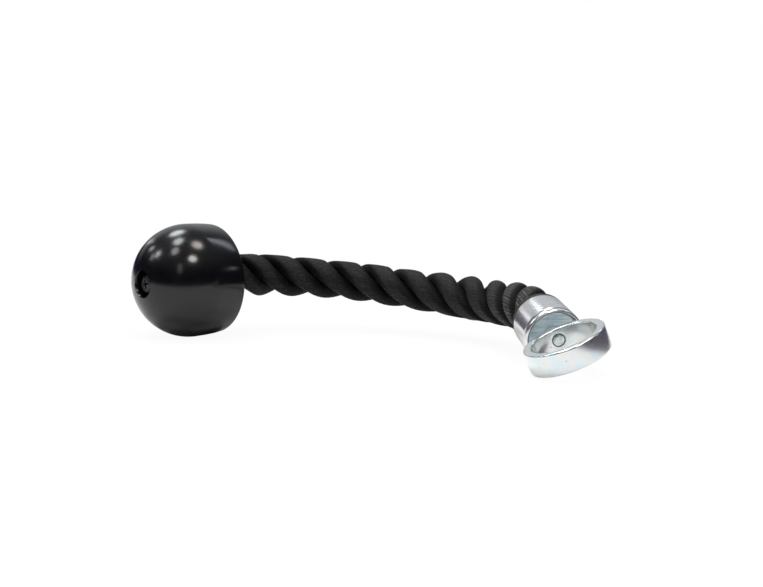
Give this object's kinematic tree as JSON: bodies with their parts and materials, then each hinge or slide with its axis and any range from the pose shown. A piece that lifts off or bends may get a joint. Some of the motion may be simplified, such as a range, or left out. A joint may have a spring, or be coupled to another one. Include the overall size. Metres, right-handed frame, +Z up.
{
  "type": "single-handle cable rope",
  "caption": "Laid rope grip with a moulded rubber end ball at one end and a steel ferrule at the other, which carries a hanger ring on a loose swivel rivet.",
  "frame": {"origin": "centre of the bounding box in plan, on the floor that the ball and the ferrule lie on", "axes": "+X from the ball towards the ferrule, +Y away from the ring's end, +Z up from the floor"},
  "size_m": [0.2976, 0.2317, 0.074],
  "materials": {
    "moulded_rubber": "satin gloss",
    "rope_fibre": "matt, three strands, right-hand lay",
    "blackened_steel": "black oxide",
    "zinc_plate": "bright zinc plating with a faint iridescence",
    "turned_steel": "turned",
    "nylon": "as moulded",
    "cloth_tape": "waxed cloth",
    "set_resin": "cast"
  },
  "bodies": {
    "rope_handle": {"end_ball": "moulded_rubber", "ball_washer": "zinc_plate", "ball_screw": "blackened_steel", "wedge_plug": "nylon", "splayed_rope_end": "rope_fibre", "rope": "rope_fibre", "rope_tape": "cloth_tape", "socket_resin": "set_resin", "ferrule": "zinc_plate", "end_plate": "zinc_plate"},
    "swivel_seat": {"seat_washer": "turned_steel"},
    "hanger": {"swivel_rivet": "turned_steel", "spacer_collar": "zinc_plate", "hanger_ring": "zinc_plate"}
  },
  "joints": [
    {"name": "ring_swivel", "type": "hinge", "parent": "rope_handle", "child": "swivel_seat", "pos_m": [0.1168, -0.04738, 0.01974], "axis": [0.2093, -0.952, -0.2233], "continuous": true},
    {"name": "ring_tilt", "type": "hinge", "parent": "swivel_seat", "child": "hanger", "pos_m": [0.1168, -0.04738, 0.01974], "axis": [0.9178, 0.1125, 0.3809], "range_deg": [-3, 21]}
  ]
}
